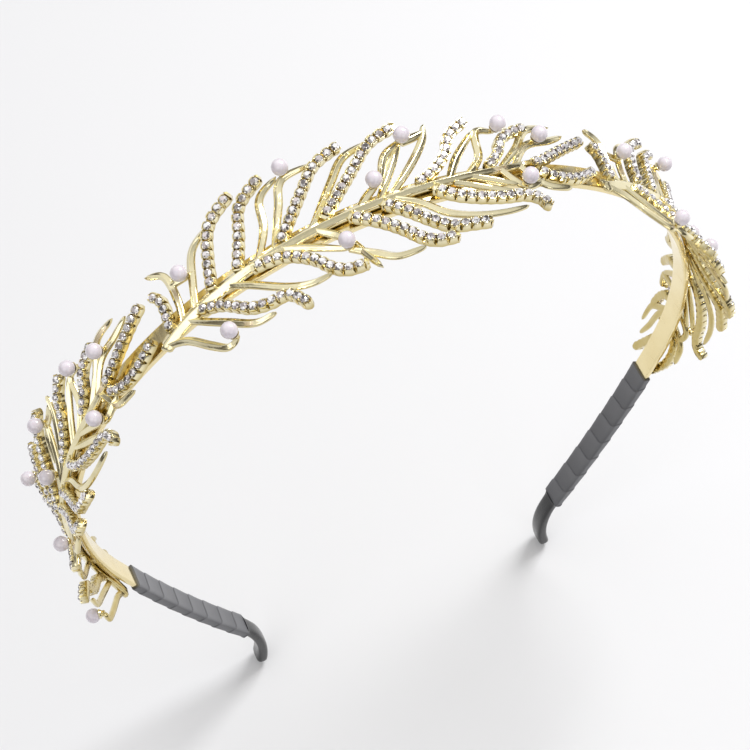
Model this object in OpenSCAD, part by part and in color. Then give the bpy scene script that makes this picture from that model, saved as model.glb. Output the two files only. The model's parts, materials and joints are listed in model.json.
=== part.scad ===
// Bridal tiara: a sprung metal alice band that carries three leaf-spray castings set with
// crystals and pearls. Millimetres. X runs from ear to ear, Y to the back of the head, Z up
// to the crown. The origin is the centre of the band's crown arc.

/* [Head] */
// Inside radius of the band over the crown of the head
seat_r = 65; // [55:0.5:80]
// Angle from the crown to where each leg starts, in degrees
crown_half = 109; // [100:1:115]
// Inside radius of the gently curved leg
leg_r = 350; // [200:10:600]
// Length of each leg along its inside
leg_len = 56; // [50:1:75]

/* [Metal strip] */
// Width of the strip, front to back
strip_w = 4.8; // [4:0.1:8]
// Thickness of the strip
strip_t = 1.2; // [0.8:0.1:2]
// Corner chamfer along the strip's edges
strip_edge = 0.25; // [0.1:0.05:0.35]
// Width of the strip where it turns outwards
tip_w = 3; // [2:0.1:3.6]
// Bend radius of the out-turned end
tip_bend_r = 26; // [14:1:40]
// Angle that the end turns outwards, in degrees
tip_turn = 40; // [15:1:45]

/* [Ribbon and tips] */
// Bare strip between the root of the outer casting's rib and the start of the ribbon
ribbon_gap = 1.4; // [1.2:0.2:10]
// Thickness of the wound ribbon on each face
ribbon_t = 0.5; // [0.3:0.05:0.9]
// Thickness of the black coating round the tip
cap_t = 0.8; // [0.4:0.05:1]

/* [Leaf castings] */
// Distance along the band from one casting to the next
leaf_pitch = 89; // [88:0.5:94]
// Thickness of the rib that runs down the middle of a casting
rib_t = 1.6; // [1.2:0.1:2.4]
// Width of the rib at its root
rib_w = 3.0; // [2.2:0.1:4]
// Width of a plain leaflet
blade_w = 1.4; // [1:0.1:2]
// Width of a leaflet that holds crystals
channel_w = 2; // [1.9:0.1:2.8]
// Thickness of every leaflet
leaflet_t = 1.2; // [1:0.1:1.8]
// How strongly the leaflets flare away from the head, rise in mm per mm squared
curl = 0.01; // [0:0.002:0.03]
// Thickness of the solder under the rib
solder_t = 0.5; // [0.3:0.05:1]

/* [Crystals and pearls] */
// Diameter of a crystal at its girdle
gem_d = 1.5; // [1.2:0.05:1.55]
// Height of a crystal from its flat back to its table
gem_h = 0.85; // [0.6:0.05:1.1]
// Spacing of the crystals along a leaflet
gem_pitch = 1.7; // [1.65:0.05:2.4]
// Height of a crystal leaflet's rim above the middle of the leaflet
rim_rise = 1; // [0.7:0.05:1.3]
// Depth of the channel that the crystals lie in
seat_depth = 0.4; // [0.2:0.05:0.5]
// Room beside a crystal in its channel
seat_gap = 0.05; // [0.02:0.01:0.1]
// Glue under each crystal
glue_t = 0.06; // [0.04:0.01:0.1]
// Diameter of a pearl
pearl_d = 3; // [2.4:0.1:3.4]
// Diameter of the hole drilled in a pearl
pearl_bore = 0.8; // [0.6:0.1:1]
// Room round the peg inside a pearl
peg_gap = 0.05; // [0.02:0.01:0.1]

/* [Hidden] */
// Places are given as s, w and h: s along the band's outer face from the crown (+ to the
// right), w across the band (+ to the back), h out from the band's outer face.
face_r = seat_r + strip_t;
arc_len = face_r * crown_half * PI / 180;
leg_face_r = leg_r + strip_t;
leg_turn = leg_len / leg_r * 180 / PI;
heel = crown_half + leg_turn;
gem_r = gem_d / 2;
solder_len = 2.4;
solder_w = 2;
solder_rise = 0.12;
cup_t = 0.35;
cup_d = 2;
peg_len = pearl_d * 0.5;
// Step in thickness where strip sections are drawn down, so that no two faces coincide
draw = 0.05;
thinning = 0.05;
leg_t = strip_t - 2 * draw;
leg_w = strip_w - 2 * draw;
tip_t = leg_t - 2 * draw;
lap = 0.2;
rib_steps = 5;
curve_steps = 2;

// The rib of one casting, root to tip, as [s, w]
rib_path = [[-43.5, -3.4], [-38, -2], [-30, -1], [-18, -0.2], [0, 0], [16, 0.1], [26, 0.6], [31.4, 1.5]];

// Leaflets with a row of crystals: name, then [s, w] from the rib outwards
gem_rows = [
    ["u1", [[-40.4, -1.8], [-39.8, 2.5], [-40, 5], [-41.4, 6.6]]],
    ["u2", [[-30.6, -0.2], [-28.8, 5.5], [-26, 10.6], [-20.4, 13.4]]],
    ["u3", [[-25.2, 0], [-22.4, 5.8], [-20, 10.6], [-14.8, 13.4]]],
    ["u4", [[-16.6, 0.6], [-10, 7.3], [-6, 11], [-0.8, 12.6]]],
    ["u5", [[-8.6, 0.8], [-0.6, 7.4], [4, 11.2], [9.2, 12.8]]],
    ["u6", [[8.5, 0.8], [12, 2.4], [15.4, 5.2], [17.4, 8.6], [21.4, 11]]],
    ["u7", [[21.8, 1], [24.8, 3.4], [26.6, 6.2], [29.4, 7.8], [32.8, 8.6]]],
    ["u8", [[30.8, 0.7], [33, 1.3], [36.4, 2.8], [40.8, 4.8], [45.4, 6.8]]],
    ["u9", [[31, -0.6], [33, -2.2], [35.8, -3], [39.4, -2.8], [44.6, -0.5]]],
    ["l1", [[-34.4, -2], [-30, -4.2], [-25.8, -8.2], [-22.4, -9.6], [-19, -10.2], [-16.6, -14.6]]],
    ["l2", [[-23, -1.2], [-18.6, -1.9], [-15.4, -3.6], [-12.8, -6.2], [-10.8, -9.6], [-8.6, -11.4],
        [-5.4, -11.9]]],
    ["l3", [[-4.6, -0.8], [-0.4, -4.4], [2.4, -7.8], [4.2, -10.9], [6.4, -12.8], [9.8, -13.2]]],
    ["l4", [[1.4, -0.8], [4.6, -4.2], [7.4, -7.9], [9.6, -10.4], [12.6, -11.2], [16.4, -11.8]]],
    ["l5", [[10.6, -1], [13.4, -3.7], [17.2, -5.5], [21.4, -6.5], [25.4, -6.7], [27.8, -8], [28.4, -10.4]]]];

// Plain leaflets and the short bars that tie leaflets together
blades = [
    [[-38, -2], [-37.2, 2.6], [-37.4, 8], [-40.6, 10.2]],
    [[-36.9, 5.8], [-34.4, 5.6], [-32.2, 5.2]],
    [[-35, -1.6], [-33.4, 3.4], [-31, 8.4], [-26.9, 10.7]],
    [[-21.6, -0.4], [-18.2, 4.8], [-16.6, 10], [-12.4, 12.2]],
    [[-18.2, 0], [-14.4, 7], [-12, 11.2], [-6.4, 11.6]],
    [[-11.4, 0], [-5, 6.7], [-1.2, 10.4], [3.8, 11.6]],
    [[-2.6, 0], [-0.2, 2], [2.4, 3.6]],
    [[3.3, 4.4], [5.6, 8.2], [9.4, 10.2]],
    [[1, 0], [5.6, 5.6], [9, 10]],
    [[3, 0], [9, 5], [12.8, 9], [14.2, 12]],
    [[9.2, 9.6], [11.5, 10.1], [13.6, 10.6]],
    [[14, 0], [17.4, 4.4], [22.6, 9.2]],
    [[17.4, 0], [21.4, 3.6], [23, 8.8], [26.6, 8.6]],
    [[24.4, 0.6], [29.4, 4.6], [33.4, 8.6], [38.8, 9.2]],
    [[27.4, 0.8], [31.8, 5.2], [37.4, 6.4], [41.4, 7.6]],
    [[24.2, 0.4], [27.2, -4], [32.2, -2.7]],
    [[-42.4, -3.3], [-38.4, -5.4], [-34.6, -9.6], [-31.8, -12.3], [-29.6, -11.9]],
    [[-36.8, -2.2], [-30.6, -7.4], [-26, -11.2], [-22.2, -11.8]],
    [[-27.4, -1.4], [-24, -3.8], [-18.8, -8.1], [-15, -10], [-11.4, -10.2]],
    [[-17, -0.4], [-12.6, -3], [-7, -6.9]],
    [[-10.6, -0.2], [-6.6, -4.8], [-3.8, -13.7]],
    [[-7, -6.9], [-3.6, -10], [-0.6, -12.6], [4, -12.9]],
    [[4, -0.4], [7.6, -3], [10.8, -6.8], [15.4, -9], [20, -9.6], [24.8, -9.2]],
    [[14.8, -0.6], [19.8, -3.1], [24.6, -5.3]],
    [[18, 0], [22, -1.6], [25.8, -3.6]],
    [[28.4, 0.8], [31.4, -4], [36.6, -5.1]]];

// Pearl centres on one casting
pearl_spots = [
    [-33.8, 5.4], [-29.8, -11.7], [-11.2, 12.5], [-7, -6.9], [1.5, 3.1],
    [9, 10], [26.3, 8.7], [33.8, 6], [27.2, -4]];

// Where the ribbon starts, just past the root of the outer casting's rib, and the angle of leg
// left for it
ribbon_start = leaf_pitch - rib_path[0][0] + ribbon_gap;
ribbon_turn = min(leg_turn, leg_turn - (ribbon_start - arc_len) / leg_face_r * 180 / PI);

// Solder spots under one rib, as distances along the band
solder_spots = [-28, -12, 12, 26];

// The three castings, each with its place along the band
castings = [["left", -leaf_pitch], ["centre", 0], ["right", leaf_pitch]];

// Angle between straight up and the band's outward direction at s
function turn(s) = sign(s) * (abs(s) < arc_len ? abs(s) / face_r * 180 / PI
    : crown_half + (abs(s) - arc_len) / leg_face_r * 180 / PI);

// Point at s, w and h as [x, y, z]
function on_band(s, w, h) =
    let (a = turn(s), inset = abs(s) < arc_len ? 0 : leg_r - seat_r,
        r = (abs(s) < arc_len ? face_r : leg_face_r) + h)
    [r * sin(a) - sign(s) * inset * sin(crown_half), w, r * cos(a) - inset * cos(crown_half)];

// Height of the middle of a leaflet over the band at w, and how far its face tips there
function flare(w) = solder_t + rib_t / 2 + curl * w * w;
function flare_angle(w) = atan(2 * curl * w);

// Point v out from the middle of a leaflet, square to its face
function on_leaf(s, w, v) =
    on_band(s, w - v * sin(flare_angle(w)), flare(w) + v * cos(flare_angle(w)));

// Smooth curve through a list of points, with steps points in each stretch
function smooth(p, steps) =
    let (n = len(p) - 1)
    concat([for (i = [0:n - 1]) for (k = [0:steps - 1])
        let (t = k / steps, a = i == 0 ? 2 * p[0] - p[1] : p[i - 1],
            d = i == n - 1 ? 2 * p[n] - p[n - 1] : p[i + 2])
        (2 * p[i] + (p[i + 1] - a) * t + (2 * a - 5 * p[i] + 4 * p[i + 1] - d) * t * t
            + (3 * p[i] - a - 3 * p[i + 1] + d) * t * t * t) / 2], [p[n]]);

// Distance walked along a list of points up to each of them
function walked(p, i = 0, sum = 0) =
    i == len(p) - 1 ? [sum] : concat([sum], walked(p, i + 1, sum + norm(p[i + 1] - p[i])));

// Points spaced a pitch apart along a path, a margin clear of both its ends
function spaced(p, pitch, margin) =
    let (d = walked(p), last = len(p) - 1, room = d[last] - 2 * margin,
        gaps = floor(room / pitch), start = margin + (room - gaps * pitch) / 2,
        s = [for (i = [0:last]) [d[i], p[i][0]]], w = [for (i = [0:last]) [d[i], p[i][1]]])
    [for (k = [0:gaps]) [lookup(start + k * pitch, s), lookup(start + k * pitch, w)]];

// Stands its children on a leaflet, at a height above the leaflet's middle
module seated(at, offset, height) {
    translate(on_leaf(at[0] + offset, at[1], height))
        rotate([0, turn(at[0] + offset), 0])
            rotate([flare_angle(at[1]), 0, 0])
                children();
}

// A bar that follows a path over the band. Section is a list of [across, out] corners in
// half widths and half thicknesses, and taper gives the half width at each step.
module leaflet(path, offset, section, taper, thick) {
    n = len(path) - 1;
    m = len(section);
    points = [for (i = [0:n])
        let (along = path[min(i + 1, n)] - path[max(i - 1, 0)], side = [-along[1], along[0]] / norm(along))
        for (c = section)
            let (at = path[i] + side * c[0] * taper(i / n))
            on_leaf(at[0] + offset, at[1], c[1] * thick / 2)];
    walls = [for (i = [0:n - 1]) for (k = [0:m - 1])
        let (a = i * m + k, b = i * m + (k + 1) % m)
        each [[a, a + m, b + m], [a, b + m, b]]];
    polyhedron(points, concat(walls, [[for (k = [0:m - 1]) k]], [[for (k = [m - 1:-1:0]) n * m + k]]));
}

ridge_section = [[1, -1], [1, 0.1], [0, 1], [-1, 0.1], [-1, -1]];
wall_in = (gem_d + 2 * seat_gap) / channel_w;
wall_top = 2 * rim_rise / leaflet_t;
wall_foot = 2 * (rim_rise - seat_depth) / leaflet_t;
channel_section = [[1, -1], [1, wall_top], [wall_in, wall_top], [wall_in, wall_foot],
    [-wall_in, wall_foot], [-wall_in, wall_top], [-1, wall_top], [-1, -1]];

// A cup and peg that carry one pearl, the peg hexagonal to key the glue
module pearl_cup(at, offset) {
    seated(at, offset, 0) {
        hull() {
            cylinder(d = cup_d * 0.7, h = 0.1, $fn = 10);
            translate([0, 0, leaflet_t / 2]) cylinder(d = cup_d, h = cup_t, $fn = 10);
        }
        cylinder(r = pearl_bore / 2 - peg_gap, h = leaflet_t / 2 + cup_t + peg_len, $fn = 6);
    }
}

// The rib down the middle of a casting
module rib(offset) {
    leaflet(smooth(rib_path, rib_steps), offset, ridge_section,
        function (t) rib_w / 2 * (1 - 0.65 * t), rib_t);
}

// One casting: rib, plain leaflets, channelled crystal leaflets and pearl cups
module leaf(offset) {
    color("palegoldenrod")
        union() {
            rib(offset);
            for (i = [0:len(blades) - 1])
                leaflet(smooth(blades[i], curve_steps), offset, ridge_section,
                    function (t) blade_w / 2 * (0.85 + 0.35 * sin(180 * t) - 0.2 * t),
                    leaflet_t - thinning * (1 + i % 5));
            for (row = gem_rows)
                leaflet(smooth(row[1], curve_steps), offset, channel_section,
                    function (t) channel_w / 2, leaflet_t);
            for (at = pearl_spots) pearl_cup(at, offset);
        }
}

// A flat-backed crystal with a straight girdle and a bevelled crown
module crystal() {
    girdle = gem_h * 0.5;
    rotate_extrude($fn = 32)
        polygon([[0, 0], [gem_r, 0], [gem_r, girdle], [gem_r * 0.55, gem_h], [0, gem_h]]);
}

module crystal_row(row, offset) {
    color("gainsboro")
        for (at = spaced(smooth(row[1], curve_steps), gem_pitch, gem_r))
            seated(at, offset, rim_rise - seat_depth + glue_t) crystal();
}

// Half-drilled pearls: the rim of each hole rests on its cup
module pearls(offset) {
    rim = pearl_d / 2 - sqrt(pow(pearl_d / 2, 2) - pow(pearl_bore / 2, 2));
    color("seashell")
        for (at = pearl_spots)
            seated(at, offset, leaflet_t / 2 + cup_t - rim)
                difference() {
                    translate([0, 0, pearl_d / 2]) sphere(d = pearl_d, $fn = 64);
                    translate([0, 0, -1]) cylinder(d = pearl_bore, h = 1 + rim + peg_len + 0.1, $fn = 32);
                }
}

// Outline of the strip or of a sleeve round it, as a chamfered rectangle. It is w wide and
// t thick, and strip_t / 2 outside radius r at its middle.
module strip_outline(r, w, t, grow = 0) {
    e = strip_edge + grow / 2;
    a = r + (strip_t - t) / 2 - grow;
    b = r + (strip_t + t) / 2 + grow;
    v = w / 2 + grow;
    polygon([[a, e - v], [a + e, -v], [b - e, -v], [b, e - v],
        [b, v - e], [b - e, v], [a + e, v], [a, v - e]]);
}

// Sweeps an outline round the Y axis between two angles measured from straight up
module swept(from, to) {
    rotate([90, 0, 0]) rotate([0, 0, 90 - to])
        rotate_extrude(angle = to - from, $fn = 180) children();
}

// Moves the right leg's arc onto the end of the crown arc
module on_leg() {
    translate([(seat_r - leg_r) * sin(crown_half), 0, (seat_r - leg_r) * cos(crown_half)]) children();
}

// Moves to the centre of the outward bend at the right heel
module on_bend() {
    reach = leg_r + strip_t + tip_bend_r;
    on_leg() translate([reach * sin(heel), 0, reach * cos(heel)]) children();
}

// The out-turned end, on the right side, grown on every face
module tip(grow) {
    on_bend() {
        rotate([0, 180, 0])
            swept(heel - tip_turn, heel + 10 * lap) strip_outline(tip_bend_r, tip_w, tip_t, grow);
        rotate([0, 180 + heel - tip_turn, 0])
            translate([0, 0, tip_bend_r + (strip_t - tip_t) / 2 - grow])
                cylinder(d = tip_w + 2 * grow, h = tip_t + 2 * grow, $fn = 64);
    }
}

module to_side(side) {
    if (side < 0) mirror([1, 0, 0]) children();
    else children();
}

module band() {
    color("khaki") {
        swept(-crown_half, crown_half) strip_outline(seat_r, strip_w, strip_t);
        for (side = [-1, 1])
            to_side(side) {
                on_leg() swept(crown_half - lap, heel) strip_outline(leg_r, leg_w, leg_t);
                tip(0);
            }
    }
}

// Ribbon wound round the leg, bonded to the strip
module ribbon(side) {
    color("dimgray")
        to_side(side)
            on_leg() swept(heel - ribbon_turn, heel)
                difference() {
                    strip_outline(leg_r, leg_w, leg_t, ribbon_t);
                    strip_outline(leg_r, leg_w, leg_t);
                }
}

// Black coating that the out-turned end is dipped in
module end_cap(side) {
    color("black")
        to_side(side)
            difference() {
                tip(cap_t);
                tip(0);
                on_leg() swept(heel - ribbon_turn, heel) strip_outline(leg_r, leg_w, leg_t, ribbon_t);
            }
}

// Solder that fills the gap between the strip and one rib
module solder(offset) {
    color("darkkhaki")
        difference() {
            for (s = solder_spots) {
                on_crown = abs(s + offset) < arc_len;
                inset = on_crown ? 0 : leg_r - seat_r;
                foot = on_crown ? 0 : draw;
                half = solder_len / 2 / (inset + face_r) * 180 / PI;
                translate([-sign(offset) * inset * sin(crown_half), 0, -inset * cos(crown_half)])
                    swept(turn(s + offset) - half, turn(s + offset) + half)
                        translate([inset + face_r - foot, -lookup(s, rib_path) - solder_w / 2])
                            square([solder_t + solder_rise + foot, solder_w]);
            }
            rib(offset);
        }
}

band();
ribbon(-1);  // ribbon_left
ribbon(1);  // ribbon_right
end_cap(-1);  // end_cap_left
end_cap(1);  // end_cap_right
for (c = castings) {
    leaf(c[1]);
    solder(c[1]);
    pearls(c[1]);
    for (row = gem_rows)
        crystal_row(row, c[1]);
}
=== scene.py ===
import json

import bmesh
import bpy
import numpy as np
from mathutils import Matrix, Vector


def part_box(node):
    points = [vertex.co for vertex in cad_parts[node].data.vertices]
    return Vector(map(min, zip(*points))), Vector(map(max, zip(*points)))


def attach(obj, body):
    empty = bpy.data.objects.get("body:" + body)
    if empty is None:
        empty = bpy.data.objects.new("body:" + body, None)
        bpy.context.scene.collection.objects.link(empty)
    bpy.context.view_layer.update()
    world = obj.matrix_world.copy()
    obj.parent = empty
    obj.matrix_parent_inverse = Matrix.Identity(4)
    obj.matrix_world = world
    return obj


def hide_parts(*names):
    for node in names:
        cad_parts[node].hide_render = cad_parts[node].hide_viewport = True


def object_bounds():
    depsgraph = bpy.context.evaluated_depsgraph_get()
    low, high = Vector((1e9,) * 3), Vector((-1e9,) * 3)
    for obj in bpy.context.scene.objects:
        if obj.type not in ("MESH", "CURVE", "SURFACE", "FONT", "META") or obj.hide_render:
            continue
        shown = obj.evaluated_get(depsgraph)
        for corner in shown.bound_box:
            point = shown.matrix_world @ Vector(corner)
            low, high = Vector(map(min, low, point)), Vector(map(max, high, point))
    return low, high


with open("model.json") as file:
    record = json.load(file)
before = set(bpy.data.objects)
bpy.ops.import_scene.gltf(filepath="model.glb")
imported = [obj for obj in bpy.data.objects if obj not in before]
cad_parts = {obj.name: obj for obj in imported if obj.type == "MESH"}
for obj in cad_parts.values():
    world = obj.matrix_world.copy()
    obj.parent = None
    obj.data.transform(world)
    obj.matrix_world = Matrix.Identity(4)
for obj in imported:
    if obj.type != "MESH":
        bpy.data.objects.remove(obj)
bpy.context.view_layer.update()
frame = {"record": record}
record = frame["record"]


# --- Metal strip -------------------------------------------------------------------------
# The alice band itself: one springy steel strip, rolled to a crown arc with two straighter
# legs, gilded, its long edges tumbled round, and each end bent outwards to clear the skin.
# Shapes are worked out in millimetres and go into the meshes in metres.
seat_radius = record["mounts"][0]["dims"]["r_mm"]
strip_thick = 1.2
crown_angle = np.radians(109)
leg_radius = 350
leg_angle = 56 / leg_radius
bend_radius = 26
bend_angle = np.radians(40)
tip_width = 3.0
face_radius = seat_radius + strip_thick
leg_face = leg_radius + strip_thick
crown_run = face_radius * crown_angle
heel_run = crown_run + leg_face * leg_angle
tip_run = heel_run + bend_radius * bend_angle


def strip_point(s, w, h):
    """Point s along the strip's outer face from the crown, w to the back and h out from that
    face. The crown is an arc about the origin, each leg a wider arc that starts where it ends,
    each tip an arc about a centre outside the strip, and what is further on runs straight."""
    size = np.abs(s)
    heel = crown_angle + leg_angle
    on_leg = size > crown_run
    on_bend = size > heel_run
    turned = np.minimum((size - heel_run) / bend_radius, bend_angle)
    angle = np.where(on_leg, crown_angle + (size - crown_run) / leg_face, size / face_radius)
    angle = np.where(on_bend, heel - turned, angle)
    inset = np.where(on_leg, leg_radius - seat_radius, 0)
    reach = np.where(on_bend, leg_face + bend_radius, 0)
    radius = np.where(on_bend, h - bend_radius, np.where(on_leg, leg_face, face_radius) + h)
    beyond = np.maximum(size - tip_run, 0)
    x = radius * np.sin(angle) - inset * np.sin(crown_angle) + reach * np.sin(heel) + beyond * np.cos(angle)
    z = radius * np.cos(angle) - inset * np.cos(crown_angle) + reach * np.cos(heel) - beyond * np.sin(angle)
    return np.stack(np.broadcast_arrays(np.sign(s) * x, w, z), -1)


def tube(points, crest=None):
    """A closed shell from rows of points round a section: quads join each row to the next and
    the last point of a row to its first, and each end row is closed by one flat face."""
    rows, cols = points.shape[:2]
    i, j = np.meshgrid(np.arange(rows - 1), np.arange(cols), indexing="ij")
    k = (j + 1) % cols
    quads = np.stack([i * cols + j, (i + 1) * cols + j, (i + 1) * cols + k, i * cols + k], -1)
    ends = [list(range(cols)), list(range((rows - 1) * cols, rows * cols))]
    crest = np.zeros((rows, cols)) if crest is None else np.broadcast_to(crest, (rows, cols))
    return points.reshape(-1, 3), quads.reshape(-1, 4).tolist() + ends, crest.ravel()


def make_piece(name, shells, material, nodes, crease=38):
    """One object of closed shells, each (points in mm, faces, crest). Crest is kept on the
    points as an attribute, high on the upper and outer parts and 0 deep in the piece; the gilt
    paints shade where it is low. Faces are turned outwards, and edges sharper than crease degrees stay
    sharp."""
    start = np.cumsum([0] + [len(s[0]) for s in shells])
    points = np.concatenate([s[0] for s in shells]) * 0.001
    faces = [[v + int(first) for v in f] for s, first in zip(shells, start) for f in s[1]]
    mesh = bpy.data.meshes.new(name)
    mesh.from_pydata(points.tolist(), [], faces)
    mesh.attributes.new("crest", "FLOAT", "POINT").data.foreach_set(
        "value", np.concatenate([s[2] for s in shells]).astype(np.float32))
    piece = bpy.data.objects.new(name, mesh)
    bpy.context.scene.collection.objects.link(piece)
    outward(mesh)
    mesh.shade_smooth()
    mesh.set_sharp_from_angle(angle=np.radians(crease))
    mesh.materials.append(material)
    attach(piece, "root")
    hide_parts(*nodes)
    return piece


def outward(mesh):
    """Merges points closer than a tenth of a micron, closes the holes left at the ends of a
    winding, and turns every face outwards."""
    work = bmesh.new()
    work.from_mesh(mesh)
    bmesh.ops.remove_doubles(work, verts=work.verts, dist=1e-7)
    rims = [edge for edge in work.edges if edge.is_boundary]
    bmesh.ops.holes_fill(work, edges=rims)
    bmesh.ops.recalc_face_normals(work, faces=work.faces)
    work.to_mesh(mesh)
    work.free()


def plating_group():
    """Node group for plated metal, on Object coordinates. Tone is a cloudy mask with a few dark
    specks, Rough adds hairline scratches that run one way, and Height is soft casting ripple."""
    group = bpy.data.node_groups.new("plating", "ShaderNodeTree")
    group.interface.new_socket("Grain", in_out="INPUT", socket_type="NodeSocketFloat")
    group.interface.new_socket("Polish", in_out="INPUT", socket_type="NodeSocketFloat")
    for out in ("Tone", "Rough", "Height"):
        group.interface.new_socket(out, in_out="OUTPUT", socket_type="NodeSocketFloat")
    nodes, links = group.nodes, group.links
    into, out = nodes.new("NodeGroupInput"), nodes.new("NodeGroupOutput")
    where = nodes.new("ShaderNodeTexCoord").outputs["Object"]

    def noise(scale, detail, vector):
        made = nodes.new("ShaderNodeTexNoise")
        made.inputs["Detail"].default_value = detail
        times = nodes.new("ShaderNodeMath")
        times.operation = "MULTIPLY"
        times.inputs[1].default_value = scale
        links.new(into.outputs["Grain"], times.inputs[0])
        links.new(times.outputs[0], made.inputs["Scale"])
        links.new(vector, made.inputs["Vector"])
        return made.outputs["Fac"]

    streaks = nodes.new("ShaderNodeMapping")
    streaks.inputs["Scale"].default_value = (1, 0.12, 1)
    links.new(where, streaks.inputs["Vector"])
    cloud, ripple = noise(1, 3, where), noise(3, 2, where)
    hair = noise(14, 2, streaks.outputs["Vector"])
    tone = nodes.new("ShaderNodeMapRange")
    tone.inputs["From Min"].default_value, tone.inputs["From Max"].default_value = 0.35, 0.75
    links.new(cloud, tone.inputs["Value"])
    scratch = nodes.new("ShaderNodeMapRange")
    scratch.inputs["From Min"].default_value, scratch.inputs["From Max"].default_value = 0.5, 0.8
    scratch.inputs["To Max"].default_value = 0.16
    links.new(hair, scratch.inputs["Value"])
    rough = nodes.new("ShaderNodeMath")
    rough.operation = "MULTIPLY_ADD"
    rough.inputs[1].default_value = 0.12
    links.new(tone.outputs[0], rough.inputs[0])
    links.new(scratch.outputs[0], rough.inputs[2])
    total = nodes.new("ShaderNodeMath")
    links.new(rough.outputs[0], total.inputs[0])
    links.new(into.outputs["Polish"], total.inputs[1])
    links.new(tone.outputs[0], out.inputs["Tone"])
    links.new(total.outputs[0], out.inputs["Rough"])
    links.new(ripple, out.inputs["Height"])
    return group


plating = plating_group()


def gilt(name, bright, deep, grain, polish, ripple):
    """Gold plate over metal: the bright colour where the crest is high, going to the deeper
    colour as painted shade low down, and in cloudy patches. Roughness and ripple come from the plating
    group."""
    material = bpy.data.materials.new(name)
    material.use_nodes = True
    nodes, links = material.node_tree.nodes, material.node_tree.links
    shader = nodes["Principled BSDF"]
    shader.inputs["Metallic"].default_value = 1
    plate = nodes.new("ShaderNodeGroup")
    plate.node_tree = plating
    plate.inputs["Grain"].default_value = grain
    plate.inputs["Polish"].default_value = polish
    crest = nodes.new("ShaderNodeAttribute")
    crest.attribute_name = "crest"
    # Painted shade: the lower the crest, the further the gold goes to the deep colour.
    low = nodes.new("ShaderNodeMapRange")
    low.inputs["From Max"].default_value = 0.7
    low.inputs["To Min"].default_value, low.inputs["To Max"].default_value = 0.85, 0
    links.new(crest.outputs["Fac"], low.inputs["Value"])
    # Mix of the plate's cloudy tone and the painted shade from the crest.
    tone_and_painted_shade = nodes.new("ShaderNodeMath")
    tone_and_painted_shade.operation = "MULTIPLY_ADD"
    tone_and_painted_shade.use_clamp = True
    tone_and_painted_shade.inputs[1].default_value = 0.3
    links.new(plate.outputs["Tone"], tone_and_painted_shade.inputs[0])
    links.new(low.outputs[0], tone_and_painted_shade.inputs[2])
    colour = nodes.new("ShaderNodeMix")
    colour.data_type = "RGBA"
    colour.inputs["A"].default_value, colour.inputs["B"].default_value = (*bright, 1), (*deep, 1)
    links.new(tone_and_painted_shade.outputs[0], colour.inputs["Factor"])
    links.new(colour.outputs["Result"], shader.inputs["Base Color"])
    links.new(plate.outputs["Rough"], shader.inputs["Roughness"])
    bump = nodes.new("ShaderNodeBump")
    bump.inputs["Strength"].default_value = ripple
    bump.inputs["Distance"].default_value = 0.0001
    links.new(plate.outputs["Height"], bump.inputs["Height"])
    links.new(bump.outputs["Normal"], shader.inputs["Normal"])
    return material


def strip_section(half_width, half_thick, edge):
    """Rectangle with round corners of the given radius, as (across, out) from its middle."""
    turn = np.linspace(0, np.pi / 2, 5)
    corners = [(1, 1, 0), (-1, 1, 1), (-1, -1, 2), (1, -1, 3)]
    return np.concatenate([np.stack([
        x * (half_width - edge) + edge * np.cos(turn + q * np.pi / 2),
        y * (half_thick - edge) + edge * np.sin(turn + q * np.pi / 2)], -1) for x, y, q in corners])


# The strip is full width over the crown, rolled a little thinner down the legs, and drawn in
# to the tips over the last few millimetres.
stations = np.concatenate([np.linspace(0, crown_run, 80), np.linspace(crown_run + 0.6, heel_run - 3, 40),
                           np.linspace(heel_run - 2, tip_run, 16)])
stations = np.concatenate([-stations[:0:-1], stations])
strip_width = 1000 * (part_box("band")[1].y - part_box("band")[0].y)
drawn = np.interp(np.abs(stations), [crown_run, crown_run + 0.6], [0, 0.05])
half_widths = np.interp(np.abs(stations), [heel_run - 3, heel_run + 1],
                        [strip_width / 2, tip_width / 2]) - drawn
half_thicks = strip_thick / 2 - drawn
flat = strip_section(strip_width / 2, strip_thick / 2, 0.28)
across = flat[:, 0] / (strip_width / 2) * half_widths[:, None]
out = flat[:, 1] / (strip_thick / 2) * half_thicks[:, None]
# The gilt reads the crest as painted shade: a little deeper across the middle of each face, brightest along
# the round edges.
strip = tube(strip_point(stations[:, None], across, out - strip_thick / 2),
             0.55 + 0.3 * np.abs(flat[:, 0]) / (strip_width / 2))
gilt_sheet = gilt("gilt_sheet", (0.93, 0.80, 0.47), (0.74, 0.57, 0.24), 160, 0.12, 0.1)
make_piece("metal_strip", [strip], gilt_sheet, ["band"])
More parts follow.
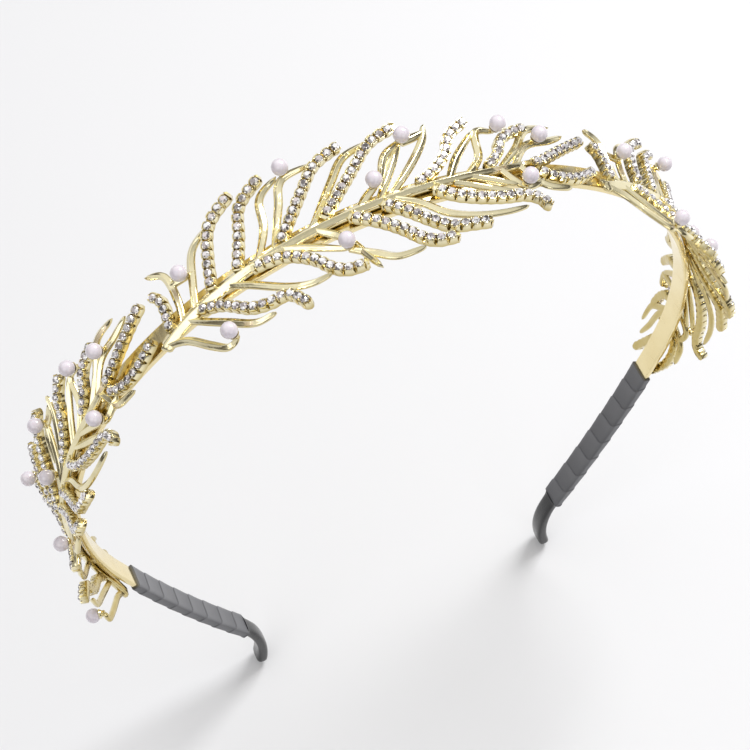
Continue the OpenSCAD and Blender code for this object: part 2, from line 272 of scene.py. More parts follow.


# --- Leaf castings -----------------------------------------------------------------------
# One mould cast three times and bent to the strip, nose to tail: a rib with ridged leaflets,
# leaflets that carry crystals in open settings, and a cup and peg under every pearl.
# Polished and plated a pale champagne gold, with painted shade low down, in the hollows and between the
# stones.
leaf_pitch = 89
rib_thick = 1.6
rib_width = 3.0
blade_width = 1.4
channel_width = 2.0
leaflet_thick = 1.2
rim_rise = 1.0
seat_depth = 0.4
curl = 0.01
solder_thick = 0.5
stone_radius = 0.75
stone_height = 0.85
stone_pitch = 1.7
side_gap = 0.05
glue = 0.06
rib_path = [(-43.5, -3.4), (-38, -2), (-30, -1), (-18, -0.2), (0, 0), (16, 0.1), (26, 0.6), (31.4, 1.5)]
stone_rows = {
    "u1": [(-40.4, -1.8), (-39.8, 2.5), (-40, 5), (-41.4, 6.6)],
    "u2": [(-30.6, -0.2), (-28.8, 5.5), (-26, 10.6), (-20.4, 13.4)],
    "u3": [(-25.2, 0), (-22.4, 5.8), (-20, 10.6), (-14.8, 13.4)],
    "u4": [(-16.6, 0.6), (-10, 7.3), (-6, 11), (-0.8, 12.6)],
    "u5": [(-8.6, 0.8), (-0.6, 7.4), (4, 11.2), (9.2, 12.8)],
    "u6": [(8.5, 0.8), (12, 2.4), (15.4, 5.2), (17.4, 8.6), (21.4, 11)],
    "u7": [(21.8, 1), (24.8, 3.4), (26.6, 6.2), (29.4, 7.8), (32.8, 8.6)],
    "u8": [(30.8, 0.7), (33, 1.3), (36.4, 2.8), (40.8, 4.8), (45.4, 6.8)],
    "u9": [(31, -0.6), (33, -2.2), (35.8, -3), (39.4, -2.8), (44.6, -0.5)],
    "l1": [(-34.4, -2), (-30, -4.2), (-25.8, -8.2), (-22.4, -9.6), (-19, -10.2), (-16.6, -14.6)],
    "l2": [(-23, -1.2), (-18.6, -1.9), (-15.4, -3.6), (-12.8, -6.2), (-10.8, -9.6), (-8.6, -11.4),
        (-5.4, -11.9)],
    "l3": [(-4.6, -0.8), (-0.4, -4.4), (2.4, -7.8), (4.2, -10.9), (6.4, -12.8), (9.8, -13.2)],
    "l4": [(1.4, -0.8), (4.6, -4.2), (7.4, -7.9), (9.6, -10.4), (12.6, -11.2), (16.4, -11.8)],
    "l5": [(10.6, -1), (13.4, -3.7), (17.2, -5.5), (21.4, -6.5), (25.4, -6.7), (27.8, -8), (28.4, -10.4)]}
blades = [
    [(-38, -2), (-37.2, 2.6), (-37.4, 8), (-40.6, 10.2)],
    [(-36.9, 5.8), (-34.4, 5.6), (-32.2, 5.2)],
    [(-35, -1.6), (-33.4, 3.4), (-31, 8.4), (-26.9, 10.7)],
    [(-21.6, -0.4), (-18.2, 4.8), (-16.6, 10), (-12.4, 12.2)],
    [(-18.2, 0), (-14.4, 7), (-12, 11.2), (-6.4, 11.6)],
    [(-11.4, 0), (-5, 6.7), (-1.2, 10.4), (3.8, 11.6)],
    [(-2.6, 0), (-0.2, 2), (2.4, 3.6)],
    [(3.3, 4.4), (5.6, 8.2), (9.4, 10.2)],
    [(1, 0), (5.6, 5.6), (9, 10)],
    [(3, 0), (9, 5), (12.8, 9), (14.2, 12)],
    [(9.2, 9.6), (11.5, 10.1), (13.6, 10.6)],
    [(14, 0), (17.4, 4.4), (22.6, 9.2)],
    [(17.4, 0), (21.4, 3.6), (23, 8.8), (26.6, 8.6)],
    [(24.4, 0.6), (29.4, 4.6), (33.4, 8.6), (38.8, 9.2)],
    [(27.4, 0.8), (31.8, 5.2), (37.4, 6.4), (41.4, 7.6)],
    [(24.2, 0.4), (27.2, -4), (32.2, -2.7)],
    [(-42.4, -3.3), (-38.4, -5.4), (-34.6, -9.6), (-31.8, -12.3), (-29.6, -11.9)],
    [(-36.8, -2.2), (-30.6, -7.4), (-26, -11.2), (-22.2, -11.8)],
    [(-27.4, -1.4), (-24, -3.8), (-18.8, -8.1), (-15, -10), (-11.4, -10.2)],
    [(-17, -0.4), (-12.6, -3), (-7, -6.9)],
    [(-10.6, -0.2), (-6.6, -4.8), (-3.8, -13.7)],
    [(-7, -6.9), (-3.6, -10), (-0.6, -12.6), (4, -12.9)],
    [(4, -0.4), (7.6, -3), (10.8, -6.8), (15.4, -9), (20, -9.6), (24.8, -9.2)],
    [(14.8, -0.6), (19.8, -3.1), (24.6, -5.3)],
    [(18, 0), (22, -1.6), (25.8, -3.6)],
    [(28.4, 0.8), (31.4, -4), (36.6, -5.1)]]
pearl_spots = [(-33.8, 5.4), (-29.8, -11.7), (-11.2, 12.5), (-7, -6.9), (1.5, 3.1),
               (9, 10), (26.3, 8.7), (33.8, 6), (27.2, -4)]
castings = {"left": -leaf_pitch, "centre": 0, "right": leaf_pitch}


def smooth_path(points, steps):
    """Curve through the points: in each stretch a cubic whose slope at a point is half the way
    from the point before to the point after, sampled in equal steps."""
    p = np.array(points, float)
    p = np.concatenate([[2 * p[0] - p[1]], p, [2 * p[-1] - p[-2]]])
    a, b, c, d = (p[i:len(p) - 3 + i, None] for i in range(4))
    t = (np.arange(steps) / steps)[None, :, None]
    curve = (2 * b + (c - a) * t + (2 * a - 5 * b + 4 * c - d) * t**2 + (3 * b - a - 3 * c + d) * t**3) / 2
    return np.concatenate([curve.reshape(-1, 2), p[-2:-1]])


def walked(path):
    """Distance walked along a path up to each of its points."""
    return np.concatenate([[0], np.cumsum(np.linalg.norm(np.diff(path, axis=0), axis=1))])


def along(path, distance):
    """Points at the given distances along a path."""
    d = walked(path)
    return np.stack([np.interp(distance, d, path[:, 0]), np.interp(distance, d, path[:, 1])], -1)


def leaf_point(s, w, v):
    """Point v out from the middle of a leaflet, square to its face. Leaflets flare away from
    the head with the square of w, on top of the solder and half the rib."""
    tip = np.arctan(2 * curl * w)
    lift = solder_thick + rib_thick / 2 + curl * w * w
    return strip_point(s, w - v * np.sin(tip), lift + v * np.cos(tip))


def leaflet(path, offset, across, out, half, thick):
    """A bar whose section, across in half widths and out in half thicknesses, is carried
    along a path over the band. Half and thick give those at each step."""
    slope = np.gradient(path, axis=0)
    side = np.stack([-slope[:, 1], slope[:, 0]], -1) / np.linalg.norm(slope, axis=1)[:, None]
    shift = across * half[:, None]
    at = path[:, None] + side[:, None] * shift[..., None]
    return leaf_point(at[..., 0] + offset, at[..., 1], out * thick[:, None] / 2)


# Section of a plain leaflet: two flanks that rise to a narrow ridge. Its crest falls from the ridge to the
# underside, which the gilt paints in shade.
ridge_across = np.array([1, 1, 0.86, 0.6, 0.3, 0.08, -0.08, -0.3, -0.6, -0.86, -1, -1, -0.6, 0.6])
ridge_out = np.array([-0.6, -0.05, 0.26, 0.46, 0.72, 0.98, 0.98, 0.72, 0.46, 0.26, -0.05, -0.6, -1, -1])
ridge_crest = np.clip(0.5 + 0.5 * ridge_out, 0, 1)


def rib(offset):
    """The rib: the ridge section, wide at the root and drawn in to the tip."""
    path = smooth_path(rib_path, 12)
    t = np.linspace(0, 1, len(path))
    root = np.sqrt(np.clip(t / 0.02, 0.05, 1))
    half = rib_width / 2 * (1 - 0.65 * t) * root
    return tube(leaflet(path, offset, ridge_across, ridge_out, half,
                        rib_thick * (0.55 + 0.45 * root)), ridge_crest)


def blade(points, offset, number):
    """A plain leaflet: it swells a little in the middle and closes to a round point over its
    last eighth. Its thickness differs a hair from its neighbours'."""
    path = smooth_path(points, 9)
    t = np.linspace(0, 1, len(path))
    closing = np.clip((1 - t) / 0.12, 0, 1)
    point = np.sqrt(closing * (2 - closing)) * 0.9 + 0.1
    half = blade_width / 2 * (0.85 + 0.35 * np.sin(np.pi * t) - 0.2 * t) * point
    thick = (leaflet_thick - 0.05 * (1 + number % 5)) * (0.45 + 0.55 * point)
    return tube(leaflet(path, offset, ridge_across, ridge_out, half, thick), ridge_crest)


def stone_spots(points):
    """Distances along a row's path where its stones sit: one pitch apart, clear of the rib
    at the root and of the end wall, with what is over shared between both ends."""
    path = smooth_path(points, 2)
    root, tip = stone_radius, stone_radius
    room = walked(path)[-1] - root - tip
    gaps = int(room // stone_pitch)
    return path, root + (room - gaps * stone_pitch) / 2 + stone_pitch * np.arange(gaps + 1)


def setting(points, offset):
    """A leaflet with a row of settings: a channel whose walls stand up beside each stone and
    drop between stones, where the outline is nipped in too."""
    coarse, spots = stone_spots(points)
    length = walked(coarse)[-1]
    d = np.linspace(0, length, int(length / 0.15) + 1)
    fine = smooth_path(points, 16)
    path = along(fine, d * walked(fine)[-1] / length)
    phase = (d - spots[0]) / stone_pitch
    inside = (phase > -0.5) & (phase < len(spots) - 0.5)
    between = np.where(inside, 0.5 - 0.5 * np.cos(2 * np.pi * phase), 0)
    notch = np.clip((between - 0.72) / 0.2, 0, 1)[:, None]
    wall = (stone_radius + side_gap) / (channel_width / 2)
    rim, floor = 2 * rim_rise / leaflet_thick, 2 * (rim_rise - seat_depth) / leaflet_thick
    across = np.array([0.94, 1, 0.97, wall, wall, -wall, -wall, -0.97, -1, -0.94, -0.7, 0.7])
    high = np.array([-0.7, rim - 0.2, rim, rim, floor, floor, rim, rim, rim - 0.2, -0.7, -1, -1])
    low = np.minimum(high, 0.1)
    out = high * (1 - notch) + low * notch
    nip = 1 - 0.1 * between * inside
    end = np.minimum((d + 0.3), (length - d)) / 0.5
    half = channel_width / 2 * nip * np.sqrt(np.clip(end, 0.15, 1))
    # Painted shade: the crest falls towards the underside and much further in the notches between stones,
    # where the gilt darkens.
    crest = np.clip(0.25 + 0.45 * out, 0, 1) * (1 - 0.45 * notch)
    return tube(leaflet(path, offset, across, out, half, np.full(len(d), leaflet_thick)), crest)


def seats(spots, offset, height):
    """Origins and axes (along, across, out) of places at a height over a leaflet's middle."""
    s, w = spots[:, 0] + offset, spots[:, 1]
    origin = leaf_point(s, w, height)
    step = 0.01
    x = leaf_point(s + step, w, height) - origin
    z = leaf_point(s, w, height + step) - origin
    x, z = x / np.linalg.norm(x, axis=1)[:, None], z / np.linalg.norm(z, axis=1)[:, None]
    return origin, np.stack([x, np.cross(z, x), z], 1)


def placed(shape, origin, axes):
    """A small closed shell copied to each seat: (points, faces, crest)."""
    points, faces, crest = shape
    world = origin[:, None] + np.einsum("kc,ncd->nkd", points, axes)
    all_faces = [[v + n * len(points) for v in f] for n in range(len(origin)) for f in faces]
    return world.reshape(-1, 3), all_faces, np.tile(crest, len(origin))


def turned(profile, sides, crest):
    """A lathe shape: (radius, height) rows turned round the out axis."""
    a = np.arange(sides) * 2 * np.pi / sides
    r, z = np.array(profile, float).T
    points = np.stack([r[:, None] * np.cos(a), r[:, None] * np.sin(a),
                       np.broadcast_to(z[:, None], (len(z), sides))], -1)
    return tube(points, np.array(crest, float)[:, None])


# Claw: a small tapered peg with a round head, four to a stone, pushed over its girdle.
# Its crest rises from foot to head, so the gilt paints shade at the foot.
claw = turned([(0.17, -0.25), (0.15, 0.3), (0.15, 0.5), (0.1, 0.6), (0.03, 0.63)], 6, [0, 0.4, 0.8, 1, 1])
claw_radius = 0.86
pearl_diameter = 3
# The cup's crest is high on its rim and low at its foot and in its hollow under the pearl, where the gilt
# paints shade.
cup = turned([(0.5, -0.7), (0.62, -0.1), (0.8, 0.12), (1.0, 0.3), (1.02, 0.4), (0.9, 0.42),
              (0.6, 0.28), (0.06, 0.24)],
             20, [0, 0.2, 0.5, 0.9, 1, 0.9, 0.1, 0])


def claws(points, offset):
    """Four claws at the corners of every stone in a row."""
    path, spots = stone_spots(points)
    centres = along(path, spots)
    slope = along(path, spots + 0.2) - along(path, spots - 0.2)
    slope = slope / np.linalg.norm(slope, axis=1)[:, None]
    normal = np.stack([-slope[:, 1], slope[:, 0]], -1)
    corner = claw_radius * np.sqrt(0.5)
    corners = [centres + corner * (i * slope + j * normal) for i in (-1, 1) for j in (-1, 1)]
    return placed(claw, *seats(np.concatenate(corners), offset, rim_rise - seat_depth))


gilt_cast = gilt("gilt_cast", (0.97, 0.89, 0.60), (0.58, 0.46, 0.18), 260, 0.08, 0.3)
for place, offset in castings.items():
    shells = [rib(offset)]
    shells += [blade(points, offset, number) for number, points in enumerate(blades)]
    shells += [setting(points, offset) for points in stone_rows.values()]
    shells += [claws(points, offset) for points in stone_rows.values()]
    shells += [placed(cup, *seats(np.array(pearl_spots), offset, leaflet_thick / 2))]
    make_piece(f"casting_{place}", shells, gilt_cast, [f"leaf_{place}"])


# --- Crystals ----------------------------------------------------------------------------
# Flat-backed chaton crystals, foiled behind, one row to a leaflet and glued in its channel.
# Each has a table, eight stars, eight kites and sixteen girdle facets.
def stone_shape():
    """Rings of a cut crown: flat back and girdle with 16 corners, eight kite corners turned
    half a step, and the table's eight corners. Star, kite and girdle facets join the rings."""
    turn16, turn8 = np.arange(16) * np.pi / 8, np.arange(8) * np.pi / 4
    rings = [(turn16, 1, 0), (turn16, 1, 0.46), (turn8 + np.pi / 8, 0.8, 0.78), (turn8, 0.52, 1)]
    points = np.concatenate([np.stack([stone_radius * r * np.cos(a), stone_radius * r * np.sin(a),
                                       np.full(len(a), stone_height * h)], -1) for a, r, h in rings])
    back, girdle, kite, table = 0, 16, 32, 40
    faces = [list(range(back, back + 16))[::-1], list(range(table, table + 8))]
    for k in range(16):
        faces.append([back + k, back + (k + 1) % 16, girdle + (k + 1) % 16, girdle + k])
    for k in range(8):
        left, right, above = girdle + 2 * k, girdle + (2 * k + 2) % 16, table + (k + 1) % 8
        faces.append([left, left + 1, kite + k])
        faces.append([left + 1, right, kite + k])
        faces.append([table + k, kite + k, above])
        faces.append([right, kite + (k + 1) % 8, above, kite + k])
    return points, faces, np.zeros(len(points))


def cut_crystal():
    """Foiled glass: the facets carry painted reflections, random shades from near black to white,
    under a clear hard surface that gives the glints."""
    material = bpy.data.materials.new("cut_crystal")
    material.use_nodes = True
    nodes, links = material.node_tree.nodes, material.node_tree.links
    shader = nodes["Principled BSDF"]
    shader.inputs["Metallic"].default_value = 0.6
    shader.inputs["Coat Weight"].default_value = 1
    shader.inputs["Coat Roughness"].default_value = 0.02
    shader.inputs["Coat IOR"].default_value = 1.6
    facet = nodes.new("ShaderNodeAttribute")
    facet.attribute_name = "facet"
    # Painted reflections: dark glass through pale pink to bright glint.
    ramp = nodes.new("ShaderNodeValToRGB")
    ramp.color_ramp.elements[0].color = (0.07, 0.06, 0.06, 1)
    ramp.color_ramp.elements[1].color = (1, 1, 1, 1)
    for stop, shade in ((0.22, (0.30, 0.27, 0.27, 1)), (0.45, (0.74, 0.66, 0.66, 1)),
                        (0.6, (0.93, 0.92, 0.94, 1))):
        ramp.color_ramp.elements.new(stop).color = shade
    links.new(facet.outputs["Fac"], ramp.inputs["Fac"])
    dust = nodes.new("ShaderNodeTexNoise")
    dust.inputs["Scale"].default_value = 1500
    links.new(nodes.new("ShaderNodeTexCoord").outputs["Object"], dust.inputs["Vector"])
    rough = nodes.new("ShaderNodeMapRange")
    rough.inputs["To Min"].default_value, rough.inputs["To Max"].default_value = 0.03, 0.14
    links.new(dust.outputs["Fac"], rough.inputs["Value"])
    links.new(rough.outputs[0], shader.inputs["Roughness"])
    links.new(ramp.outputs["Color"], shader.inputs["Base Color"])
    return material


crystal = cut_crystal()
stone = stone_shape()
draw = np.random.default_rng(7)
for place, offset in castings.items():
    for row, points in stone_rows.items():
        path, spots = stone_spots(points)
        origin, axes = seats(along(path, spots), offset, rim_rise - seat_depth + glue)
        spin = draw.uniform(0, 2 * np.pi, len(origin))
        x = np.cos(spin)[:, None] * axes[:, 0] + np.sin(spin)[:, None] * axes[:, 1]
        y = np.cross(axes[:, 2], x)
        shell = placed(stone, origin, np.stack([x, y, axes[:, 2]], 1))
        piece = make_piece(f"stones_{row}_{place}", [shell], crystal,
                           [f"crystals_{row}_{place}"], 1)
        # Painted reflections: a random shade for every face of the stones.
        shade = draw.uniform(0, 1, len(piece.data.polygons)).astype(np.float32)
        piece.data.attributes.new("facet", "FLOAT", "FACE").data.foreach_set("value", shade)


# --- Pearls ------------------------------------------------------------------------------
# Half-drilled imitation pearls, a glass bead under nacre lacquer, pushed over the peg of a
# cup and glued. The lacquer is not quite even, and thins round the drill hole.
def pearl_shape():
    """A ball a hair out of round, open below by its drill hole, whose wall runs up inside."""
    bore = 0.4
    start = np.arcsin(bore / (pearl_diameter / 2))
    lat = np.linspace(np.pi - start, 0.03, 26)
    r, z = pearl_diameter / 2 * np.sin(lat), pearl_diameter / 2 * (1 + np.cos(lat))
    profile = np.concatenate([[(bore * 0.98, 1.4), (bore, z[0] + 0.05)], np.stack([r, z], -1)])
    return turned(profile, 36, np.zeros(len(profile)))


def nacre():
    """Pearl lacquer: a warm white body with faint lilac clouds, a soft sheen of lilac at
    grazing angles, and a clear coat with tiny ripples."""
    material = bpy.data.materials.new("nacre")
    material.use_nodes = True
    nodes, links = material.node_tree.nodes, material.node_tree.links
    shader = nodes["Principled BSDF"]
    shader.inputs["Subsurface Weight"].default_value = 0.2
    shader.inputs["Subsurface Radius"].default_value = (0.0006, 0.0005, 0.0005)
    shader.inputs["Subsurface Scale"].default_value = 1
    shader.inputs["Sheen Weight"].default_value = 0.1
    shader.inputs["Sheen Tint"].default_value = (0.86, 0.72, 0.86, 1)
    shader.inputs["Coat Weight"].default_value = 1
    shader.inputs["Coat Roughness"].default_value = 0.03
    where = nodes.new("ShaderNodeTexCoord").outputs["Object"]
    cloud = nodes.new("ShaderNodeTexNoise")
    cloud.inputs["Scale"].default_value = 700
    cloud.inputs["Detail"].default_value = 2
    links.new(where, cloud.inputs["Vector"])
    body = nodes.new("ShaderNodeMix")
    body.data_type = "RGBA"
    (body.inputs["A"].default_value,
     body.inputs["B"].default_value) = (0.80, 0.75, 0.775, 1), (0.62, 0.56, 0.64, 1)
    links.new(cloud.outputs["Fac"], body.inputs["Factor"])
    links.new(body.outputs["Result"], shader.inputs["Base Color"])
    rough = nodes.new("ShaderNodeMapRange")
    rough.inputs["To Min"].default_value, rough.inputs["To Max"].default_value = 0.1, 0.22
    links.new(cloud.outputs["Fac"], rough.inputs["Value"])
    links.new(rough.outputs[0], shader.inputs["Roughness"])
    bump = nodes.new("ShaderNodeBump")
    bump.inputs["Strength"].default_value = 0.08
    bump.inputs["Distance"].default_value = 0.00005
    links.new(cloud.outputs["Fac"], bump.inputs["Height"])
    links.new(bump.outputs["Normal"], shader.inputs["Normal"])
    return material


pearl_finish = nacre()
pearl = pearl_shape()
cup_rise = 0.35
for place, offset in castings.items():
    rim = pearl_diameter / 2 * (1 - np.cos(np.arcsin(0.4 / (pearl_diameter / 2))))
    shell = placed(pearl, *seats(np.array(pearl_spots), offset, leaflet_thick / 2 + cup_rise - rim))
    make_piece(f"beads_{place}", [shell], pearl_finish, [f"pearls_{place}"])


# --- Solder ------------------------------------------------------------------------------
# Soft solder run in between the strip and each rib before plating: a flat blob with a
# concave skirt, a little duller and more grained than the parts that it joins.
solder_spots = (-28, -12, 12, 26)
solder_length = 2.4
solder_width = 2.0


def blob(s, offset):
    """A skirted pad: rings from the strip's face, wide and flat, curving in to the rib's underside."""
    angle = np.arange(28) * 2 * np.pi / 28
    rise = np.linspace(0, 1, 7)[:, None]
    spread = 1 - 0.2 * np.sin(rise * np.pi / 2)
    a = np.sign(np.cos(angle)) * np.abs(np.cos(angle)) ** 0.6 * solder_length / 2 * spread
    b = np.sign(np.sin(angle)) * np.abs(np.sin(angle)) ** 0.6 * solder_width / 2 * spread
    w = np.interp(s, *np.array(rib_path).T)
    # Crest rises from the strip's face to the rib, so the gilt paints shade at the foot of the blob.
    return tube(strip_point(s + offset + a, w + b, -0.05 + rise * (solder_thick + 0.1)), 0.3 + 0.3 * rise)


solder_finish = gilt("gilt_solder", (0.80, 0.69, 0.42), (0.52, 0.42, 0.22), 420, 0.28, 0.6)
for place, offset in castings.items():
    make_piece(f"solder_blobs_{place}", [blob(s, offset) for s in solder_spots], solder_finish,
               [f"solder_{place}"])


# --- Ribbon ------------------------------------------------------------------------------
# Charcoal satin ribbon, wound on the bare end of each leg with every turn lapping the last,
# pulled tight round the strip's edges and bonded to it.
ribbon_start = leaf_pitch - rib_path[0][0] + 1.4
ribbon_thick = 0.5
wrap_pitch = 6.4
wrap_step = 0.12


def wrapping(side):
    """A sleeve round the leg. Its grid follows the winding: one way goes round the leg and on
    by one pitch, the other crosses the turns. The face steps up at each lap and eases down
    over one turn, with slight puckers where the ribbon turns the strip's edges."""
    sides, run = 48, heel_run - ribbon_start
    lap = np.array([0, 0.012, 0.03, 0.05, 0.09, 0.16, 0.28, 0.4, 0.52, 0.64, 0.76, 0.88, 0.96])
    turns = np.arange(-2, int(run / wrap_pitch) + 3)
    cross = (turns[:, None] + lap).ravel()
    around = np.arange(sides) / sides
    s = np.clip(ribbon_start + wrap_pitch * (cross[:, None] + around), ribbon_start, heel_run)
    phase = ((s - ribbon_start) / wrap_pitch - around) % 1
    edge = np.interp(phase, [0, 0.03, 0.05, 1], [0, 1, 1, 0])
    angle = 2 * np.pi * around
    pucker = 0.03 * np.sin(2 * np.pi * (2.5 * phase + 3 * around)) ** 2 * np.sin(np.pi * phase)
    high = ribbon_thick - wrap_step * (1 - edge) - pucker
    round_w, round_t = (np.sign(np.cos(angle)) * np.abs(np.cos(angle)) ** 0.3,
                        np.sign(np.sin(angle)) * np.abs(np.sin(angle)) ** 0.3)
    width, depth = strip_width / 2 - 0.05 + high, strip_thick / 2 - 0.05 + high
    points = strip_point(side * s, round_w * width, round_t * depth - strip_thick / 2)
    rows, cols = points.shape[:2]
    index = np.arange(rows * cols).reshape(rows, cols)
    later = np.minimum(np.arange(rows) + len(lap), rows - 1)
    ahead = np.concatenate([index[:, 1:], index[later, :1]], 1)
    quads = np.stack([index[:-1], index[1:], ahead[1:], ahead[:-1]], -1).reshape(-1, 4)
    return points.reshape(-1, 3), quads.tolist(), edge.ravel()


def satin():
    """Dyed satin: a dark grey body with a soft sheen that follows the threads, a fine weave on
    Object coordinates, and cloudy patches that are lighter towards the raised lip of each lap."""
    material = bpy.data.materials.new("satin")
    material.use_nodes = True
    nodes, links = material.node_tree.nodes, material.node_tree.links
    shader = nodes["Principled BSDF"]
    shader.inputs["Sheen Weight"].default_value = 0.5
    shader.inputs["Sheen Roughness"].default_value = 0.35
    shader.inputs["Sheen Tint"].default_value = (0.8, 0.8, 0.84, 1)
    where = nodes.new("ShaderNodeTexCoord").outputs["Object"]
    patches = nodes.new("ShaderNodeTexNoise")
    patches.inputs["Scale"].default_value = 180
    patches.inputs["Detail"].default_value = 4
    links.new(where, patches.inputs["Vector"])
    crest = nodes.new("ShaderNodeAttribute")
    crest.attribute_name = "crest"
    lighter_on_lips = nodes.new("ShaderNodeMath")
    lighter_on_lips.operation = "MULTIPLY"
    links.new(patches.outputs["Fac"], lighter_on_lips.inputs[0])
    links.new(crest.outputs["Fac"], lighter_on_lips.inputs[1])
    body = nodes.new("ShaderNodeMix")
    body.data_type = "RGBA"
    (body.inputs["A"].default_value,
     body.inputs["B"].default_value) = (0.085, 0.086, 0.094, 1), (0.16, 0.162, 0.172, 1)
    links.new(lighter_on_lips.outputs[0], body.inputs["Factor"])
    links.new(body.outputs["Result"], shader.inputs["Base Color"])
    weave = nodes.new("ShaderNodeTexWave")
    weave.inputs["Scale"].default_value = 1400
    weave.inputs["Distortion"].default_value = 0.6
    weave.bands_direction = "DIAGONAL"
    links.new(where, weave.inputs["Vector"])
    rough = nodes.new("ShaderNodeMapRange")
    rough.inputs["To Min"].default_value, rough.inputs["To Max"].default_value = 0.32, 0.5
    links.new(patches.outputs["Fac"], rough.inputs["Value"])
    links.new(rough.outputs[0], shader.inputs["Roughness"])
    bump = nodes.new("ShaderNodeBump")
    bump.inputs["Strength"].default_value = 0.25
    bump.inputs["Distance"].default_value = 0.00003
    links.new(weave.outputs["Fac"], bump.inputs["Height"])
    links.new(bump.outputs["Normal"], shader.inputs["Normal"])
    return material


ribbon_cloth = satin()
for place, side in (("left", -1), ("right", 1)):
    make_piece(f"winding_{place}", [wrapping(side)], ribbon_cloth, [f"ribbon_{place}"], 50)


# --- Black tips --------------------------------------------------------------------------
# The bent end of the strip, dipped in black vinyl up to the ribbon. The dip is thick and
# round at the very end and stands in a small bead against the ribbon's last turn.
dip_width = 2.3
dip_depth = 1.3


def dipped_end(side):
    """A round-edged bar along the bend. It is a little fuller towards its end, has an
    exponential bead against the ribbon, and closes as a half ellipse round the strip's end."""
    s = np.concatenate([np.linspace(heel_run - 0.1, heel_run + 1.6, 8),
                        np.linspace(heel_run + 2.1, tip_run, 20),
                        tip_run + dip_width * np.sin(np.linspace(0.1, np.pi / 2 - 0.02, 12))])
    bead = np.exp(-(s - heel_run) / 0.6)
    end = np.sqrt(1 - np.clip((s - tip_run) / dip_width, 0, 0.9998) ** 2)
    swell = 0.86 + 0.14 * np.clip((s - heel_run - 3) / (tip_run - heel_run - 3), 0, 1)
    half_w, half_t = (dip_width * swell + 0.5 * bead) * end, (dip_depth * swell + 0.05 * bead) * end ** 0.6
    angle = np.arange(32) * np.pi / 16
    round_w, round_t = (np.sign(np.cos(angle)) * np.abs(np.cos(angle)) ** 0.6,
                        np.sign(np.sin(angle)) * np.abs(np.sin(angle)) ** 0.6)
    return tube(strip_point(side * s[:, None], round_w * half_w[:, None],
                            round_t * half_t[:, None] - strip_thick / 2), 0.5)


def vinyl():
    """Black dip coating: near-black and glossy, with pale dust in patches, dull handling marks
    and a faint orange-peel surface, all on Object coordinates."""
    material = bpy.data.materials.new("black_vinyl")
    material.use_nodes = True
    nodes, links = material.node_tree.nodes, material.node_tree.links
    shader = nodes["Principled BSDF"]
    where = nodes.new("ShaderNodeTexCoord").outputs["Object"]
    dust = nodes.new("ShaderNodeTexNoise")
    dust.inputs["Scale"].default_value = 900
    dust.inputs["Detail"].default_value = 6
    links.new(where, dust.inputs["Vector"])
    specks = nodes.new("ShaderNodeMapRange")
    specks.inputs["From Min"].default_value, specks.inputs["From Max"].default_value = 0.6, 0.8
    links.new(dust.outputs["Fac"], specks.inputs["Value"])
    colour = nodes.new("ShaderNodeMix")
    colour.data_type = "RGBA"
    (colour.inputs["A"].default_value,
     colour.inputs["B"].default_value) = (0.012, 0.012, 0.013, 1), (0.07, 0.07, 0.07, 1)
    links.new(specks.outputs[0], colour.inputs["Factor"])
    links.new(colour.outputs["Result"], shader.inputs["Base Color"])
    rough = nodes.new("ShaderNodeMapRange")
    rough.inputs["To Min"].default_value, rough.inputs["To Max"].default_value = 0.1, 0.34
    links.new(dust.outputs["Fac"], rough.inputs["Value"])
    links.new(rough.outputs[0], shader.inputs["Roughness"])
    peel = nodes.new("ShaderNodeTexNoise")
    peel.inputs["Scale"].default_value = 1600
    links.new(where, peel.inputs["Vector"])
    bump = nodes.new("ShaderNodeBump")
    bump.inputs["Strength"].default_value = 0.15
    bump.inputs["Distance"].default_value = 0.00003
    links.new(peel.outputs["Fac"], bump.inputs["Height"])
    links.new(bump.outputs["Normal"], shader.inputs["Normal"])
    return material


black_vinyl = vinyl()
for place, side in (("left", -1), ("right", 1)):
    make_piece(f"dipped_{place}", [dipped_end(side)], black_vinyl, [f"end_cap_{place}"], 60)


# --- Studio ------------------------------------------------------------------------------
camera = bpy.data.objects.new("camera", bpy.data.cameras.new("camera"))
camera.data.lens = 90.67
camera.data.sensor_width = 36
right, up, forward = (0.9162, -0.3982, -0.0442), (0.3623, 0.7765, 0.5156), (0.1710, 0.4884, -0.8557)
camera.matrix_world = Matrix([[right[k], up[k], -forward[k], p]
                              for k, p in enumerate((-0.06498, -0.17920, 0.32671))]
                             + [[0, 0, 0, 1]])
bpy.context.scene.collection.objects.link(camera)
bpy.context.scene.camera = camera

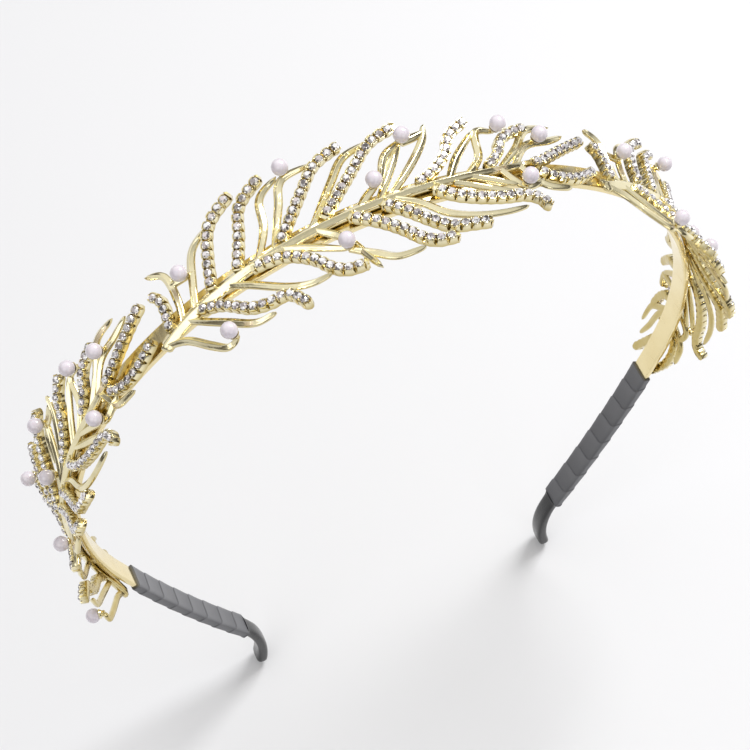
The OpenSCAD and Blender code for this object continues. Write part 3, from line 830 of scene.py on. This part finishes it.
floor_mesh = bpy.data.meshes.new("floor")
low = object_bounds()[0].z - 0.0005
floor_mesh.from_pydata([(-3, -3, low), (3, -3, low), (3, 3, low), (-3, 3, low)], [], [(0, 1, 2, 3)])
floor = bpy.data.objects.new("floor", floor_mesh)
bpy.context.scene.collection.objects.link(floor)
paper = bpy.data.materials.new("paper")
paper.use_nodes = True
paper.node_tree.nodes["Principled BSDF"].inputs["Base Color"].default_value = (0.69, 0.69, 0.702, 1)
paper.node_tree.nodes["Principled BSDF"].inputs["Roughness"].default_value = 0.6
floor_mesh.materials.append(paper)


def panel(name, position, size, power, colour=(1, 1, 1)):
    """A soft square light that faces the middle of the tiara."""
    light = bpy.data.lights.new(name, "AREA")
    light.shape, light.size, light.energy, light.color = "SQUARE", size, power, colour
    lamp = bpy.data.objects.new(name, light)
    toward = -Matrix.Translation(position).to_translation()
    lamp.matrix_world = Matrix.Translation(position) @ toward.to_track_quat("-Z", "Y").to_matrix().to_4x4()
    bpy.context.scene.collection.objects.link(lamp)


panel("key", (0.5, 0.25, 0.7), 0.35, 6)
panel("fill", (-0.7, -0.5, 0.6), 0.8, 2)
panel("front", (0.1, -0.9, 0.35), 0.5, 1)
world = bpy.data.worlds.new("studio")
world.use_nodes = True
sky, sky_links = world.node_tree.nodes, world.node_tree.links
axes = sky.new("ShaderNodeSeparateXYZ")
sky_links.new(sky.new("ShaderNodeTexCoord").outputs["Generated"], axes.inputs[0])
height = sky.new("ShaderNodeValToRGB")
height.color_ramp.elements[0].position, height.color_ramp.elements[0].color = 0.02, (0.12, 0.11, 0.10, 1)
height.color_ramp.elements[1].position, height.color_ramp.elements[1].color = 0.62, (1, 0.995, 0.99, 1)
height.color_ramp.elements.new(0.3).color = (0.34, 0.33, 0.32, 1)
height.color_ramp.elements.new(0.42).color = (0.9, 0.9, 0.9, 1)
sky_links.new(axes.outputs["Z"], height.inputs["Fac"])
front = sky.new("ShaderNodeMapRange")
front.inputs["From Min"].default_value, front.inputs["From Max"].default_value = -0.9, 0.1
front.inputs["To Min"].default_value, front.inputs["To Max"].default_value = 0.42, 0.9
sky_links.new(axes.outputs["Y"], front.inputs["Value"])
sky_links.new(height.outputs["Color"], sky["Background"].inputs["Color"])
sky_links.new(front.outputs[0], sky["Background"].inputs["Strength"])
bpy.context.scene.world = world
bpy.context.scene.view_settings.view_transform = "Standard"
